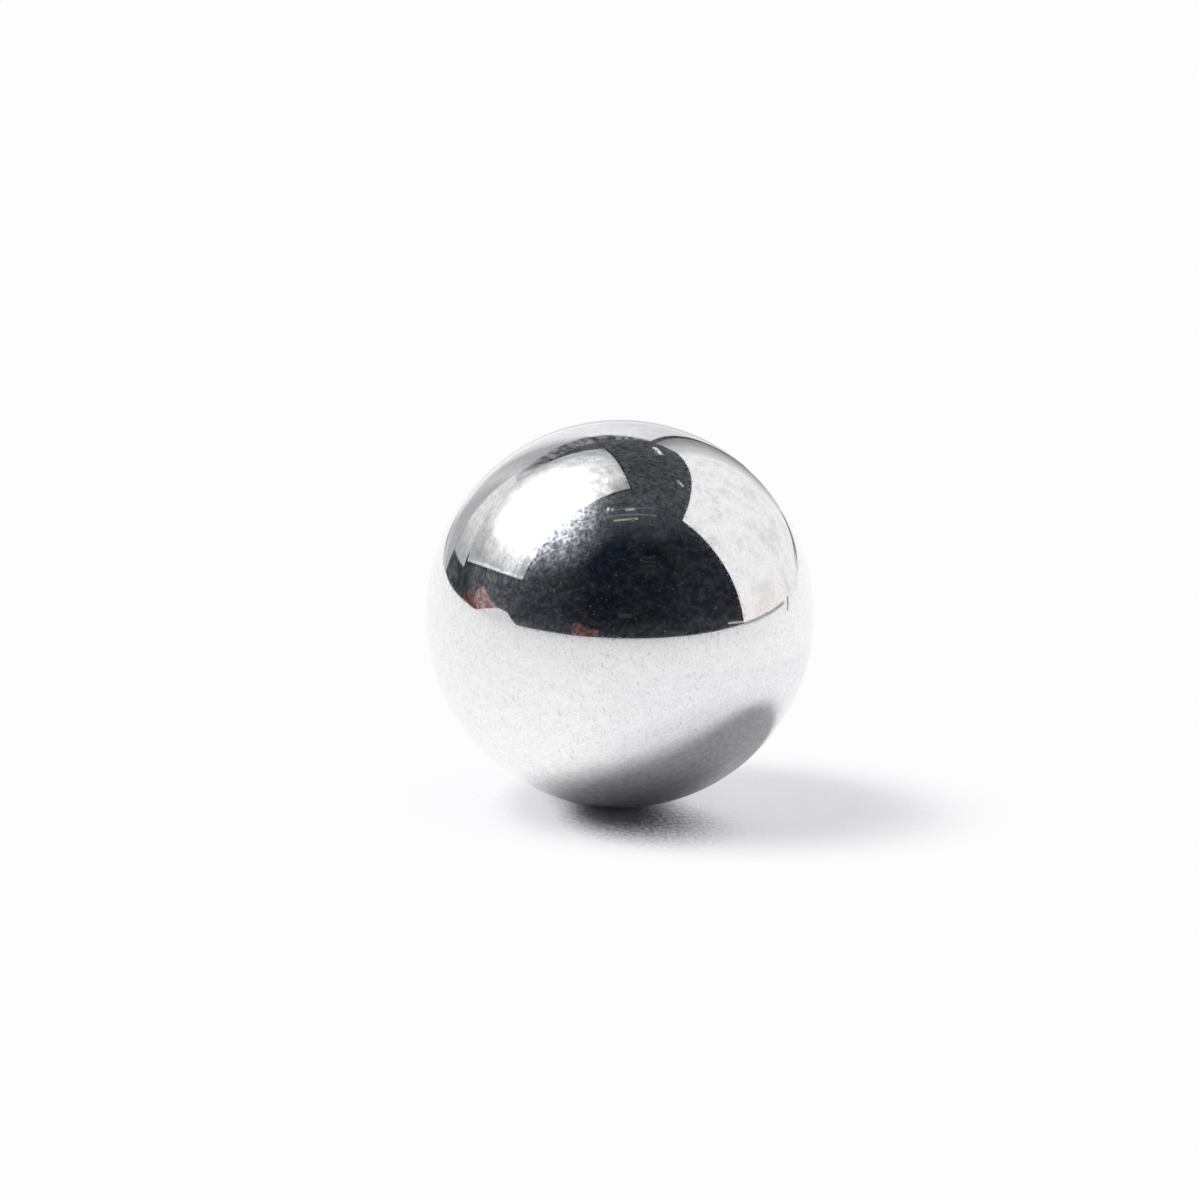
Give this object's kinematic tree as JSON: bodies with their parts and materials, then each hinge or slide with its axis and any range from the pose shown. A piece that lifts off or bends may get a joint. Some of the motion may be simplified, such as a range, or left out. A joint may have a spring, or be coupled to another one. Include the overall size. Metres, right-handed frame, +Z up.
{
  "type": "steel ball",
  "caption": "Solid polished steel ball, a plain true sphere with faint scratches and specks of wear.",
  "frame": {"origin": "centre of the ball", "axes": "+Z up, away from the seat; the ball is the same about every axis"},
  "size_m": [0.02, 0.02, 0.02],
  "materials": {
    "steel": "polished"
  },
  "bodies": {
    "root": {"ball": "steel"}
  },
  "joints": []
}
